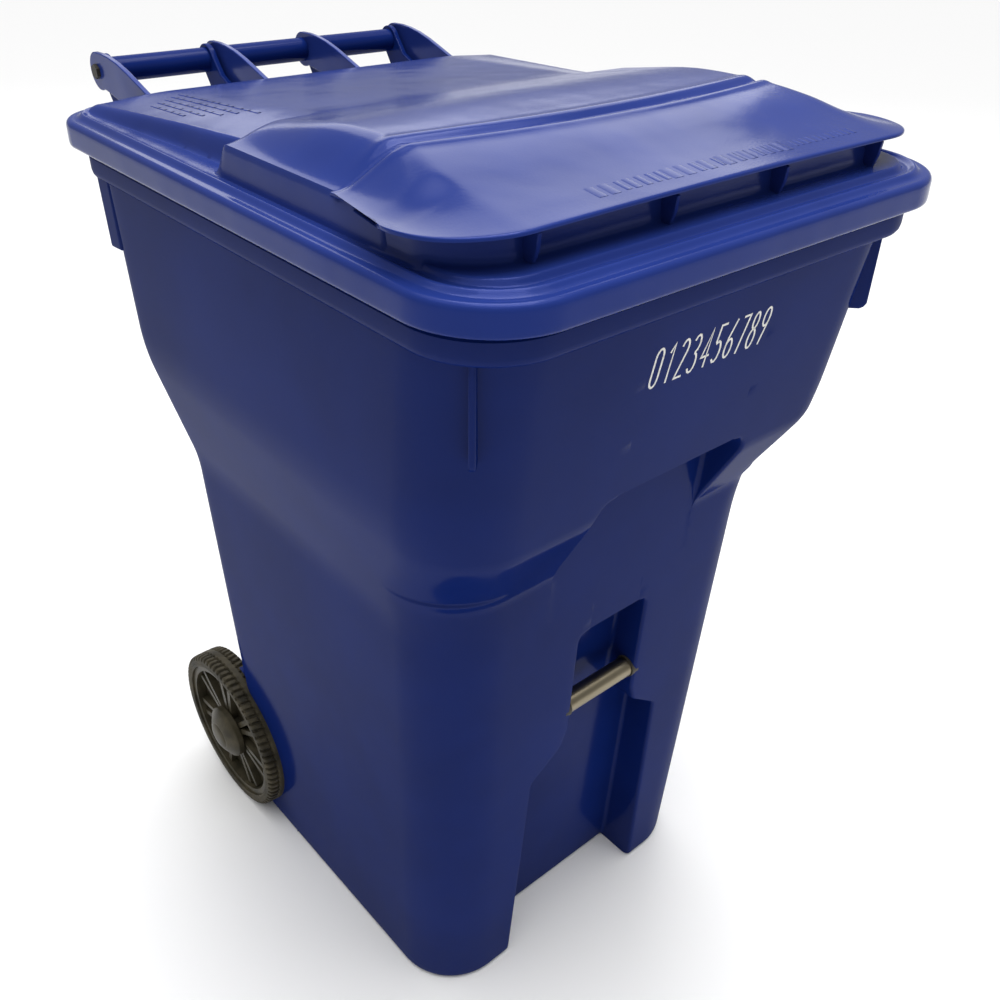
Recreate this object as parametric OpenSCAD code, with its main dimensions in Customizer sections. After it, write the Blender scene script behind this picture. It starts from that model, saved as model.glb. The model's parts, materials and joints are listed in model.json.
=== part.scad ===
// Two-wheeled refuse cart with a hinged lid, a steel catch bar and a loose-running wheel at each rear corner.
// Frame: +Z up, front is -Y, origin at the middle of the footprint on the ground.

/* [Body] */
// Half width of the lower tub at the ground
base_half_w = 238; // [230:1:244]
// Half width of the lower tub at the foot of the shoulder
waist_half_w = 247; // [245:1:252]
// Half width of the upper tub at the top of the shoulder
shoulder_half_w = 286; // [280:1:290]
// Distance from the origin to the feet's front face
base_front = 262; // [255:1:268]
// Distance from the origin to the columns' front face at the foot of the shoulder
waist_front = 289; // [284:1:294]
// Distance from the origin to the front wall at the top of the shoulder
shoulder_front = 346; // [340:1:352]
// Distance from the origin to the front wall under the rim
rim_front = 378; // [374:1:382]
// Height of the foot of the shoulder
waist_z = 630; // [610:1:650]
// Height of the top of the shoulder
shoulder_z = 782; // [770:1:800]
// Height of the underside of the rim band
rim_z = 971; // [960:1:978]
// Wall thickness of the tub
wall = 5; // [4:0.5:6]

/* [Catch bar] */
// Radius of the steel catch bar
bar_r = 12.7; // [11:0.1:14]
// Height of the catch bar's centre
bar_z = 434; // [425:1:445]
// Half width of the bar pocket
pocket_half_w = 54; // [48:1:60]
// Height of the pocket's top
pocket_top = 556; // [540:1:570]
// Half width of the wide recess between the feet
recess_half_w = 121; // [110:1:126]

/* [Lid] */
// Half width of the lid
lid_half_w = 306; // [302:1:310]
// Distance from the origin to the lid's front edge
lid_front = 404; // [400:1:406]
// Distance from the origin to the lid's rear edge
lid_rear = 291; // [286:1:294]
// Height of the lower edge of the lid's skirt
skirt_z = 998; // [990:1:1002]
// Height of the lid's ledge
ledge_z = 1023; // [1018:1:1028]
// Height of the lid's highest crease
crown_z = 1083; // [1070:1:1086]
// Thickness of the lid's sheet
lid_t = 4; // [3:0.5:5]

/* [Hinge] */
// Distance from the origin back to the hinge axis
hinge_y = 384; // [380:1:388]
// Height of the hinge axis
hinge_z = 1038; // [1034:1:1042]
// Outer radius of the handle tube
tube_r = 13.5; // [12:0.5:14]
// Radius of the lid fins' bosses
boss_r = 20; // [18:1:22]
// Radius of the hinge pins
hinge_pin_r = 5; // [4:0.5:6]

/* [Wheels] */
// Outer radius of the tyres
wheel_r = 127; // [120:1:130]
// Distance from the origin back to the axle
axle_y = 241; // [236:1:246]
// Radius of the steel axle
axle_r = 9.5; // [8:0.1:11]
// Distance from the middle to the tyre's outer face
track_half = 263; // [260:1:268]
// Width of a wheel
wheel_w = 44; // [40:1:46]

/* [Hidden] */
eps = 0.01;
far = 400;
fit_gap = 0.06;
blue = [0.12, 0.17, 0.46];
steel = [0.62, 0.58, 0.50];
black = [0.17, 0.16, 0.14];

axle_z = wheel_r;
tub_rear = 246;
base_rear = 214;
rim_gap = 0.5;
rim_top = ledge_z - lid_t - rim_gap;
rim_h = rim_top - rim_z;
rim_half_w = lid_half_w - 12;
rim_rear = 268;
foot_r = 82;
rear_corner_r = 46;
rim_corner_r = 76;
skirt_corner_r = 82;
skirt_rear_r = 58;
well_r = wheel_r + 13;
well_x = 196;
recess_back = 206;
recess_slope = 0.072;
recess_shoulder_z = 345;
saddle_half_w = 108;
saddle_top = 778;
bar_y = 266;
socket_r = bar_r + 6;
sleeve_t = 2.5;
sleeve_len = 34;
fin_t = 6;
fin_outer_x = 206;
fin_mid_x = 63;
ear_t = 7;
ear_r = tube_r + 4;
tube_half = fin_outer_x - fin_t / 2 - 1;
ear_xs = [-(fin_outer_x - 9), -(fin_mid_x + 9), fin_mid_x + 9, fin_outer_x - 9];
fin_xs = [-fin_outer_x, -fin_mid_x, fin_mid_x, fin_outer_x];
hub_r = 26;
hub_half = 24;
tyre_t = 17;
wheel_x = track_half - wheel_w / 2;

// Level plate with round corners, rf at the front and rr at the rear
module plate(w, front, rear, rf, rr, z, h = eps) {
    translate([0, 0, z])
        linear_extrude(h)
            outline(w, front, rear, rf, rr);
}

module outline(w, front, rear, rf, rr) {
    hull() {
        for (s = [-1, 1]) {
            translate([s * (w - rf), -front + rf])
                circle(r = rf, $fn = 64);
            translate([s * (w - rr), rear - rr])
                circle(r = rr, $fn = 64);
        }
    }
}

// Lower, shoulder and upper volumes of the tub, drawn in by t
module tub_form(t) {
    hull() {
        plate(base_half_w - t, base_front - t, base_rear - t, foot_r - t, rear_corner_r - t, t);
        plate(waist_half_w - t, waist_front - t, tub_rear - 8 - t, foot_r - t, rear_corner_r - t, waist_z);
    }
    hull() {
        plate(waist_half_w - t, waist_front - t, tub_rear - 8 - t, foot_r - t, rear_corner_r - t, waist_z);
        plate(shoulder_half_w - t, shoulder_front - t, tub_rear - 4 - t, foot_r - t, rear_corner_r - t, shoulder_z);
    }
    hull() {
        plate(shoulder_half_w - t, shoulder_front - t, tub_rear - 4 - t, foot_r - t, rear_corner_r - t, shoulder_z);
        plate(rim_half_w - 5 - t, rim_front - t, tub_rear - t, rim_corner_r - t, rear_corner_r - t, rim_top);
    }
}

// Room for one wheel at each rear corner
module wheel_wells(t) {
    for (s = [-1, 1]) {
        translate([s * (well_x - t + far / 2), axle_y, axle_z])
            rotate([0, 90, 0])
                cylinder(r = well_r + t, h = far, center = true, $fn = 96);
        translate([s * (well_x - t + far / 2), axle_y + far / 2 - well_r - t, axle_z / 2 - 1])
            cube([far, far, axle_z + 2], center = true);
    }
}

// Front recess: wide between the feet, narrow round the catch bar
module front_recess(t) {
    lean = atan(recess_slope);
    translate([0, -recess_back + t, -1])
        rotate([90 + lean, 0, 0])
            linear_extrude(far)
                polygon([
                    [-recess_half_w - t, -20], [recess_half_w + t, -20],
                    [recess_half_w - 14 + t, recess_shoulder_z],
                    [pocket_half_w + 8 + t, recess_shoulder_z + 34],
                    [pocket_half_w + t, recess_shoulder_z + 60],
                    [pocket_half_w + t, pocket_top - 14 + t], [pocket_half_w - 14 + t, pocket_top + t],
                    [-pocket_half_w + 14 - t, pocket_top + t], [-pocket_half_w - t, pocket_top - 14 + t],
                    [-pocket_half_w - t, recess_shoulder_z + 60],
                    [-pocket_half_w - 8 - t, recess_shoulder_z + 34],
                    [-recess_half_w + 14 - t, recess_shoulder_z]
                ]);
}

// Undercut below the front wall that a lifting arm's saddle takes
module saddle_undercut(t) {
    slope = (waist_front - base_front) / waist_z;
    translate([0, 0, waist_z - 30])
        linear_extrude(saddle_top - waist_z + 30 + t)
            translate([-saddle_half_w - t, -far])
                square([2 * (saddle_half_w + t), far - waist_front - slope * 60 + t]);
}

module ear(x) {
    translate([x + ear_t / 2, 0, 0])
        rotate([0, -90, 0])
            linear_extrude(ear_t)
                difference() {
                    union() {
                        translate([hinge_z, hinge_y])
                            circle(r = ear_r, $fn = 64);
                        polygon([
                            [rim_z - 44, tub_rear - 12], [rim_z + 4, tub_rear - 12], [rim_z + 4, lid_rear + 12],
                            [hinge_z - 8, lid_rear + 30], [hinge_z + 7, hinge_y - 15.5],
                            [hinge_z - 6, hinge_y + 16.3], [rim_z + 6, hinge_y - 20], [rim_z - 30, lid_rear + 2]
                        ]);
                    }
                    translate([hinge_z, hinge_y])
                        circle(r = tube_r, $fn = 64);
                }
}

module axle_lug(x, w) {
    translate([x + w / 2, 0, 0])
        rotate([0, -90, 0])
            linear_extrude(w)
                union() {
                    translate([axle_z, axle_y])
                        circle(r = axle_r + 9, $fn = 64);
                    polygon([
                        [axle_z - 70, base_rear - 8], [axle_z - 14, axle_y + 11],
                        [axle_z + 14, axle_y + 11], [axle_z + 70, base_rear - 8]
                    ]);
                }
}

module tub() {
    color(blue)
        difference() {
            union() {
                difference() {
                    union() {
                        tub_form(0);
                        plate(rim_half_w, lid_front - 16, rim_rear, rim_corner_r, rear_corner_r, rim_z, rim_h);
                    }
                    difference() {
                        tub_form(wall);
                        wheel_wells(wall);
                        front_recess(wall);
                        saddle_undercut(wall);
                    }
                    plate(rim_half_w - 5 - wall, rim_front - wall, tub_rear - wall, rim_corner_r - wall,
                        rear_corner_r - wall, rim_top - 1, 3);
                }
                for (x = ear_xs)
                    ear(x);
                for (x = [-150, 0, 150])
                    axle_lug(x, 60);
                for (s = [-1, 1]) {
                    // stacking ribs under the rim's corners
                    translate([s * (rim_half_w - 27), -rim_front + 24, rim_z - 48])
                        rotate([0, 0, s * 45])
                            cube([6, 30, 98], center = true);
                    translate([s * (rim_half_w - 12), rim_rear - 46, rim_z - 38])
                        cube([20, 26, 78], center = true);
                    // bosses that hold the catch bar's ends
                    translate([s * (pocket_half_w + sleeve_len / 2 + 1), -bar_y, bar_z])
                        rotate([0, 90, 0])
                            cylinder(r = socket_r, h = sleeve_len + 6, center = true, $fn = 64);
                }
            }
            wheel_wells(0);
            front_recess(0);
            saddle_undercut(0);
            for (s = [-1, 1])
                translate([s * (pocket_half_w - 6 + (sleeve_len + 6) / 2), -bar_y, bar_z])
                    rotate([0, 90, 0])
                        cylinder(r = bar_r + sleeve_t, h = sleeve_len + 6, center = true, $fn = 64);
            translate([0, axle_y, axle_z])
                rotate([0, 90, 0])
                    cylinder(r = axle_r, h = far, center = true, $fn = 64);
        }
}

module handle_tube() {
    color(blue)
        translate([0, hinge_y, hinge_z])
            rotate([0, 90, 0])
                difference() {
                    cylinder(r = tube_r, h = 2 * tube_half, center = true, $fn = 64);
                    cylinder(r = hinge_pin_r, h = 2 * tube_half + 2, center = true, $fn = 48);
                }
}

module catch_bar() {
    color(steel)
        translate([0, -bar_y, bar_z])
            rotate([0, 90, 0])
                cylinder(r = bar_r, h = 2 * (pocket_half_w + sleeve_len - 8), center = true, $fn = 64);
}

module bar_sleeve(s) {
    x0 = pocket_half_w + 0.5;
    color(black)
        translate([s * (x0 + (sleeve_len - 7) / 2), -bar_y, bar_z])
            rotate([0, s * 90, 0])
                difference() {
                    cylinder(r = bar_r + sleeve_t, h = sleeve_len - 7, center = true, $fn = 64);
                    translate([0, 0, -2])
                        cylinder(r = bar_r, h = sleeve_len - 7, center = true, $fn = 64);
                }
}

module bar_sleeve_left() {
    bar_sleeve(-1);
}

module bar_sleeve_right() {
    bar_sleeve(1);
}

module axle() {
    color(steel)
        translate([0, axle_y, axle_z])
            rotate([0, 90, 0])
                cylinder(r = axle_r, h = 2 * (wheel_x + hub_half + 12), center = true, $fn = 64);
}

// Lid cover: a low rear pan, a high front crown and a visor over the ledge
module rear_pan(t) {
    hull() {
        plate(lid_half_w - 20 - t, 60, lid_rear - 22 - t, 50, 46 - t, ledge_z - 2);
        plate(lid_half_w - 32 - t, 60, lid_rear - 40 - t, 40, 40 - t, ledge_z + 14 - t);
        plate(150 - t, 60, lid_rear - 70 - t, 40, 40, ledge_z + 24 - t);
    }
}

module front_crown(t) {
    hull() {
        plate(lid_half_w - 18 - t, lid_front - 52 - t, 10 - t, skirt_corner_r - 30, 30, ledge_z - 2);
        plate(lid_half_w - 24 - t, lid_front - 60 - t, -20 - t, skirt_corner_r - 40, 40, ledge_z + 26 - t);
        plate(226 - t, 262 - t, -150 - t, 45, 45, crown_z - t);
        plate(200 - t, 300 - t, -20 - t, 45, 45, crown_z - 26 - t);
    }
}

module fin(x) {
    rear_deck = lid_rear - 26;
    translate([x + fin_t / 2, 0, 0])
        rotate([0, -90, 0])
            linear_extrude(fin_t)
                difference() {
                    union() {
                        translate([hinge_z, hinge_y])
                            circle(r = boss_r, $fn = 64);
                        polygon([
                            [hinge_z + 19, hinge_y - 6], [hinge_z + 18, hinge_y - 30], [hinge_z + 14, hinge_y - 60],
                            [hinge_z + 6, hinge_y - 100], [hinge_z - 6, hinge_y - 145],
                            [ledge_z, rear_deck - 20], [ledge_z - 3, lid_rear - 6],
                            [ledge_z - 6, lid_rear], [hinge_z - 20, hinge_y - 4]
                        ]);
                    }
                    translate([hinge_z, hinge_y])
                        circle(r = abs(x) > 100 ? hinge_pin_r + fit_gap : tube_r + fit_gap, $fn = 64);
                }
}

module lid() {
    inner_half_w = lid_half_w - lid_t;
    color(blue)
        union() {
            difference() {
                union() {
                    plate(lid_half_w, lid_front, lid_rear, skirt_corner_r, skirt_rear_r, skirt_z, ledge_z - skirt_z);
                    plate(lid_half_w - 14, lid_front - 14, lid_rear - 14, skirt_corner_r - 10, skirt_rear_r - 10,
                        ledge_z - 1, 4);
                    rear_pan(0);
                    front_crown(0);
                }
                plate(inner_half_w, lid_front - lid_t, lid_rear - lid_t, skirt_corner_r - lid_t,
                    skirt_rear_r - lid_t, skirt_z - 1, ledge_z - skirt_z - lid_t + 1);
                plate(lid_half_w - 18 - lid_t, lid_front - 18 - lid_t, lid_rear - 18 - lid_t, skirt_corner_r - 16,
                    skirt_rear_r - 16, ledge_z - lid_t - 1, lid_t);
                rear_pan(lid_t);
                front_crown(lid_t);
            }
            // visor with its stiffening ribs
            difference() {
                hull() {
                    plate(lid_half_w - 12, lid_front - 37, -280, 66, 12, 1053, 4);
                    plate(lid_half_w - 44, lid_front - 90, -264, 50, 12, 1059.3, 4);
                }
                hull() {
                    plate(lid_half_w - 16, lid_front - 41, -275, 62, 9, 1048.6, 4);
                    plate(lid_half_w - 48, lid_front - 94, -255, 47, 9, 1055.2, 4);
                }
                front_crown(lid_t);
            }
            for (x = [-214, -70, 70, 214])
                translate([x, -(lid_front - 58), ledge_z + 16])
                    cube([4, 36, 32], center = true);
            for (x = fin_xs)
                fin(x);
        }
}

module hinge_pin(s) {
    shank = 40;
    face = fin_outer_x + fin_t / 2;
    color(black)
        translate([s * face, hinge_y, hinge_z])
            rotate([0, s * 90, 0])
                union() {
                    translate([0, 0, -shank])
                        cylinder(r = hinge_pin_r, h = shank + 1, $fn = 48);
                    translate([0, 0, 0.1])
                        cylinder(r = 8, h = 4, $fn = 6);
                }
}

module hinge_pin_left() {
    hinge_pin(-1);
}

module hinge_pin_right() {
    hinge_pin(1);
}

module ring_on_axle(x, r, hole_r, w) {
    translate([x, axle_y, axle_z])
        rotate([0, 90, 0])
            difference() {
                cylinder(r = r, h = w, center = true, $fn = 64);
                cylinder(r = hole_r, h = w + 2, center = true, $fn = 64);
            }
}

spacer_start = 180;
spacer_end = wheel_x - hub_half - 0.4;

module spacer(s) {
    color(black)
        ring_on_axle(s * (spacer_start + spacer_end) / 2, 15, axle_r, spacer_end - spacer_start);
}

module spacer_left() {
    spacer(-1);
}

module spacer_right() {
    spacer(1);
}

module washer(s) {
    color(steel)
        ring_on_axle(s * (wheel_x + hub_half + 1.4), 17, axle_r, 2);
}

module washer_left() {
    washer(-1);
}

module washer_right() {
    washer(1);
}

module retainer(s) {
    color(steel)
        ring_on_axle(s * (wheel_x + hub_half + 4.4), 14, axle_r, 4);
}

module retainer_left() {
    retainer(-1);
}

module retainer_right() {
    retainer(1);
}

module wheel(s) {
    rim_r = wheel_r - tyre_t;
    color(black)
        translate([s * wheel_x, axle_y, axle_z])
            rotate([0, s * 90, 0])
                union() {
                    difference() {
                        union() {
                            cylinder(r = hub_r, h = 2 * hub_half, center = true, $fn = 64);
                            cylinder(r = rim_r - 6, h = 5, center = true, $fn = 96);
                            for (k = [0:6])
                                rotate([0, 0, k * 360 / 7])
                                    for (d = [-7, 7])
                                        rotate([0, 0, d])
                                            translate([rim_r / 2 + 6, 0, 0])
                                                cube([rim_r - 34, 8, 26], center = true);
                        }
                        cylinder(r = axle_r + fit_gap, h = 2 * hub_half + 2, center = true, $fn = 64);
                        for (k = [0:6])
                            rotate([0, 0, (k + 0.5) * 360 / 7])
                                translate([rim_r * 0.66, 0, 0])
                                    cylinder(r = 15, h = 60, center = true, $fn = 32);
                    }
                    difference() {
                        cylinder(r = rim_r, h = wheel_w - 8, center = true, $fn = 96);
                        cylinder(r = rim_r - 9, h = wheel_w, center = true, $fn = 96);
                    }
                }
}

module wheel_left() {
    wheel(-1);
}

module wheel_right() {
    wheel(1);
}

module tyre(s) {
    rim_r = wheel_r - tyre_t;
    lugs = 36;
    color([0.10, 0.10, 0.09])
        translate([s * wheel_x, axle_y, axle_z])
            rotate([0, 90, 0])
                difference() {
                    rotate_extrude($fn = 108)
                        polygon([
                            [rim_r, -wheel_w / 2 + 3], [rim_r + 4, -wheel_w / 2], [wheel_r - 6, -wheel_w / 2],
                            [wheel_r, -wheel_w / 2 + 7], [wheel_r, wheel_w / 2 - 7],
                            [wheel_r - 6, wheel_w / 2], [rim_r + 4, wheel_w / 2], [rim_r, wheel_w / 2 - 3]
                        ]);
                    for (k = [0:lugs - 1])
                        rotate([0, 0, k * 360 / lugs])
                            for (q = [-1, 1])
                                translate([wheel_r, 0, q * wheel_w / 2])
                                    cube([8, 5, 22], center = true);
                }
}

module tyre_left() {
    tyre(-1);
}

module tyre_right() {
    tyre(1);
}

module hub_cap(s) {
    inner = wheel_x + hub_half;
    color(black)
        translate([s * inner, axle_y, axle_z])
            rotate([0, s * 90, 0])
                difference() {
                    union() {
                        cylinder(r = hub_r - 1, h = 12, $fn = 64);
                        translate([0, 0, 12])
                            cylinder(r1 = hub_r - 1, r2 = hub_r - 6, h = 3, $fn = 64);
                    }
                    translate([0, 0, -1])
                        cylinder(r = hub_r - 5, h = 13.5, $fn = 64);
                }
}

module hub_cap_left() {
    hub_cap(-1);
}

module hub_cap_right() {
    hub_cap(1);
}

tub();
handle_tube();
catch_bar();
bar_sleeve_left();
bar_sleeve_right();
axle();
lid();
hinge_pin_left();
hinge_pin_right();
spacer_left();
spacer_right();
washer_left();
washer_right();
retainer_left();
retainer_right();
wheel_left();
wheel_right();
tyre_left();
tyre_right();
hub_cap_left();
hub_cap_right();
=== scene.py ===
import json
import math

import bpy
import numpy as np
from mathutils import Matrix, Vector


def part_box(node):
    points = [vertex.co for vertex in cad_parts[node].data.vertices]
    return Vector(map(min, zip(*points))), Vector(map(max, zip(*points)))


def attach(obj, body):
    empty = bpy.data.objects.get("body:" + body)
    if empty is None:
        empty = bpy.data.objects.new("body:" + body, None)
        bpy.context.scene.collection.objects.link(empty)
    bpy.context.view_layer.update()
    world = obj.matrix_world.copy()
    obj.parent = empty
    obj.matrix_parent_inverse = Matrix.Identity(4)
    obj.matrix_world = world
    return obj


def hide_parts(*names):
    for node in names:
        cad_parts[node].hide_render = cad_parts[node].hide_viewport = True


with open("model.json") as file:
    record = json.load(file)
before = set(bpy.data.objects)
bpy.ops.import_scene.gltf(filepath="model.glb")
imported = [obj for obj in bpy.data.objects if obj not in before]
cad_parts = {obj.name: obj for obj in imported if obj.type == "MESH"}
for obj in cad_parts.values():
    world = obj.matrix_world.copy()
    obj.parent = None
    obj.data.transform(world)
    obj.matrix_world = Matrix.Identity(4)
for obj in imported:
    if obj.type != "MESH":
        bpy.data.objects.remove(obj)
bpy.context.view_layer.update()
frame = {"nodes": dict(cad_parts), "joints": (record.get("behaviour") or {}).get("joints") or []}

MM = 0.001
nodes = frame["nodes"]

# ---------------------------------------------------------------- materials


def new_material(name):
    m = bpy.data.materials.new(name)
    m.use_nodes = True
    return m, m.node_tree.nodes, m.node_tree.links, m.node_tree.nodes["Principled BSDF"]


def noise(nt, links, vec, scale, detail=4.0, rough=0.55):
    n = nt.new("ShaderNodeTexNoise")
    n.inputs["Scale"].default_value = scale
    n.inputs["Detail"].default_value = detail
    n.inputs["Roughness"].default_value = rough
    links.new(vec, n.inputs["Vector"])
    return n.outputs["Fac"]


def ramp(nt, links, fac, stops):
    r = nt.new("ShaderNodeValToRGB")
    while len(r.color_ramp.elements) < len(stops):
        r.color_ramp.elements.new(0.5)
    for e, (p, c) in zip(r.color_ramp.elements, stops):
        e.position = p
        e.color = (*c, 1.0) if len(c) == 3 else c
    links.new(fac, r.inputs["Fac"])
    return r.outputs["Color"]


def mix(nt, links, fac, a, b, blend="MIX"):
    m = nt.new("ShaderNodeMix")
    m.data_type = "RGBA"
    m.blend_type = blend
    for sock, v in ((m.inputs["Factor"], fac), (m.inputs["A"], a), (m.inputs["B"], b)):
        if hasattr(v, "is_output"):
            links.new(v, sock)
        elif isinstance(v, (int, float)):
            sock.default_value = v
        else:
            sock.default_value = (*v, 1.0)
    return m.outputs["Result"]


def math_node(nt, links, op, a, b, clamp=False):
    m = nt.new("ShaderNodeMath")
    m.operation = op
    m.use_clamp = clamp
    for i, v in enumerate((a, b)):
        if hasattr(v, "is_output"):
            links.new(v, m.inputs[i])
        else:
            m.inputs[i].default_value = v
    return m.outputs[0]


def scaled(nt, links, vec, s):
    m = nt.new("ShaderNodeMapping")
    m.inputs["Scale"].default_value = s
    links.new(vec, m.inputs["Vector"])
    return m.outputs["Vector"]


def bump(nt, links, height, strength, dist):
    b = nt.new("ShaderNodeBump")
    b.inputs["Strength"].default_value = strength
    b.inputs["Distance"].default_value = dist
    links.new(height, b.inputs["Height"])
    return b.outputs["Normal"]


def moulded_plastic(name, base, rough, gloss_var=0.07, dust=0.5, shine=0.36, coat=0.0):
    """Glossy moulded polyethylene: slow waviness, fine orange peel, thin scuffs, dust that gathers low down."""
    m, nt, links, bsdf = new_material(name)
    co = nt.new("ShaderNodeTexCoord").outputs["Object"]
    slow = noise(nt, links, co, 5.0, 3.0)
    fine = noise(nt, links, co, 420.0, 2.0)
    blotch = noise(nt, links, co, 22.0, 5.0)
    scuff_v = noise(nt, links, scaled(nt, links, co, (900, 120, 70)), 1.0, 3.0, 0.7)
    scuff = ramp(nt, links, scuff_v, [(0.0, (0, 0, 0)), (0.60, (0, 0, 0)), (0.80, (1, 1, 1)), (1.0, (1, 1, 1))])
    patch = ramp(nt, links, noise(nt, links, co, 3.1, 2.0),
                 [(0.0, (0, 0, 0)), (0.5, (0, 0, 0)), (0.72, (1, 1, 1))])
    scuffed = mix(nt, links, 1.0, scuff, patch, "MULTIPLY")
    dark = tuple(c * 0.86 for c in base)
    light = tuple(min(1.0, c * 1.12) for c in base)
    tone = mix(nt, links, ramp(nt, links, slow, [(0.3, (0, 0, 0)), (0.7, (1, 1, 1))]), dark, light)
    pale = tuple(c * 0.55 + 0.16 for c in base)
    worn = mix(nt, links, math_node(nt, links, "MULTIPLY", scuffed, 0.035), tone, pale)
    sep = nt.new("ShaderNodeSeparateXYZ")
    links.new(co, sep.inputs[0])
    near_ground = math_node(nt, links, "SUBTRACT", 0.22, sep.outputs["Z"], True)
    low = math_node(nt, links, "MULTIPLY", near_ground, 2.2 * dust, True)
    dirt = math_node(nt, links, "MULTIPLY", low, blotch, True)
    dusty = mix(nt, links, dirt, worn, (0.10, 0.095, 0.09))
    links.new(dusty, bsdf.inputs["Base Color"])
    r1 = math_node(nt, links, "MULTIPLY_ADD", blotch, gloss_var)
    r1.node.inputs[2].default_value = rough - gloss_var * 0.5
    r2 = math_node(nt, links, "ADD", r1, math_node(nt, links, "MULTIPLY", scuffed, 0.06))
    r3 = math_node(nt, links, "ADD", r2, math_node(nt, links, "MULTIPLY", dirt, 0.5), True)
    links.new(r3, bsdf.inputs["Roughness"])
    h = math_node(nt, links, "ADD", math_node(nt, links, "MULTIPLY", slow, 2.2),
                  math_node(nt, links, "MULTIPLY", fine, 0.05))
    links.new(bump(nt, links, h, 0.35, 0.004), bsdf.inputs["Normal"])
    bsdf.inputs["IOR"].default_value = 1.5
    bsdf.inputs["Specular IOR Level"].default_value = shine
    bsdf.inputs["Coat Weight"].default_value = coat
    bsdf.inputs["Coat Roughness"].default_value = 0.13
    bsdf.inputs["Specular Tint"].default_value = (0.30, 0.37, 1.0, 1.0)
    return m


def steel(name, base, rough):
    m, nt, links, bsdf = new_material(name)
    co = nt.new("ShaderNodeTexCoord").outputs["Object"]
    streak = noise(nt, links, scaled(nt, links, co, (8, 300, 300)), 1.0, 3.0)
    blotch = noise(nt, links, co, 60.0, 5.0)
    stain = ramp(nt, links, noise(nt, links, co, 35.0, 4.0),
                 [(0.0, (0, 0, 0)), (0.56, (0, 0, 0)), (0.74, (1, 1, 1))])
    tone = mix(nt, links, blotch, tuple(c * 0.78 for c in base), base)
    stained = mix(nt, links, math_node(nt, links, "MULTIPLY", stain, 0.45), tone, (0.16, 0.11, 0.06))
    links.new(stained, bsdf.inputs["Base Color"])
    bsdf.inputs["Metallic"].default_value = 1.0
    r = math_node(nt, links, "MULTIPLY_ADD", streak, 0.22)
    r.node.inputs[2].default_value = rough - 0.1
    links.new(r, bsdf.inputs["Roughness"])
    h = math_node(nt, links, "ADD", streak, math_node(nt, links, "MULTIPLY", blotch, 0.4))
    links.new(bump(nt, links, h, 0.25, 0.0004), bsdf.inputs["Normal"])
    return m


def plain_plastic(name, base, rough, dust=0.35):
    m, nt, links, bsdf = new_material(name)
    co = nt.new("ShaderNodeTexCoord").outputs["Object"]
    fine = noise(nt, links, co, 700.0, 3.0)
    blotch = noise(nt, links, co, 40.0, 5.0)
    patches = ramp(nt, links, blotch, [(0.35, (0, 0, 0)), (0.75, (1, 1, 1))])
    dusty = math_node(nt, links, "MULTIPLY", patches, dust, True)
    tone = mix(nt, links, blotch, tuple(c * 0.8 for c in base), tuple(c * 1.15 for c in base))
    links.new(mix(nt, links, dusty, tone, (0.15, 0.125, 0.078)), bsdf.inputs["Base Color"])
    bsdf.inputs["Specular IOR Level"].default_value = 0.16
    r = math_node(nt, links, "MULTIPLY_ADD", blotch, 0.2)
    r.node.inputs[2].default_value = rough - 0.1
    links.new(r, bsdf.inputs["Roughness"])
    links.new(bump(nt, links, fine, 0.3, 0.0006), bsdf.inputs["Normal"])
    return m


BLUE = (0.0045, 0.0150, 0.110)
blue_tub = moulded_plastic("tub_plastic", BLUE, 0.22, dust=0.10, shine=0.0, coat=0.17)
# painted light: the lid is the same plastic as the tub, but its base colour is painted lighter to stand in for the
# light falling on its top
lid_blue_painted_lighter = moulded_plastic("lid_plastic_painted_lighter", (0.0135, 0.0290, 0.165), 0.17, dust=0.0, shine=0.20)
zinc = steel("zinc_steel", (0.27, 0.235, 0.165), 0.34)
black = plain_plastic("black_plastic", (0.016, 0.016, 0.016), 0.45)
wheel_mat = plain_plastic("wheel_plastic", (0.034, 0.030, 0.019), 0.42)
tyre_mat = plain_plastic("tyre_rubber", (0.026, 0.023, 0.015), 0.6, 0.45)
marking, mk_nt, mk_links, mk_bsdf = new_material("stamped_marking")
mk_co = mk_nt.new("ShaderNodeTexCoord").outputs["Object"]
mk_noise = noise(mk_nt, mk_links, mk_co, 260.0, 4.0)
mk_tone = ramp(mk_nt, mk_links, mk_noise, [(0.25, (0.45, 0.46, 0.52)), (0.5, (0.80, 0.79, 0.74))])
mk_links.new(mk_tone, mk_bsdf.inputs["Base Color"])
mk_bsdf.inputs["Roughness"].default_value = 0.5

# ---------------------------------------------------------------- mesh helpers


def make_object(name, verts, faces, mat, body, smooth=40.0, slot=None):
    mesh = bpy.data.meshes.new(name)
    mesh.from_pydata([tuple(v) for v in verts], [], faces)
    mesh.validate()
    mesh.update()
    o = bpy.data.objects.new(name, mesh)
    bpy.context.scene.collection.objects.link(o)
    mesh.materials.append(mat)
    mesh.shade_smooth()
    if smooth:
        mesh.set_sharp_from_angle(angle=math.radians(smooth))
    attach(o, body)
    return o


def loft(rows, closed=True, cap_first=False, cap_last=False):
    rows = [np.asarray(r, float) for r in rows]
    n = len(rows[0])
    verts = np.concatenate(rows)
    faces = []
    span = n if closed else n - 1
    for i in range(len(rows) - 1):
        a, b = i * n, (i + 1) * n
        for j in range(span):
            k = (j + 1) % n
            faces.append((a + j, a + k, b + k, b + j))
    if cap_first:
        faces.append(tuple(range(n - 1, -1, -1)))
    if cap_last:
        faces.append(tuple(range((len(rows) - 1) * n, len(rows) * n)))
    return verts, faces


def join_parts(parts):
    verts, faces, base = [], [], 0
    for v, f in parts:
        verts.append(np.asarray(v, float))
        faces += [tuple(i + base for i in q) for q in f]
        base += len(v)
    return np.concatenate(verts), faces


def bevel(o, width, segments=2, angle=35.0):
    m = o.modifiers.new("edges", "BEVEL")
    m.width = width
    m.segments = segments
    m.limit_method = "ANGLE"
    m.angle_limit = math.radians(angle)
    m.harden_normals = False
    return m


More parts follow.
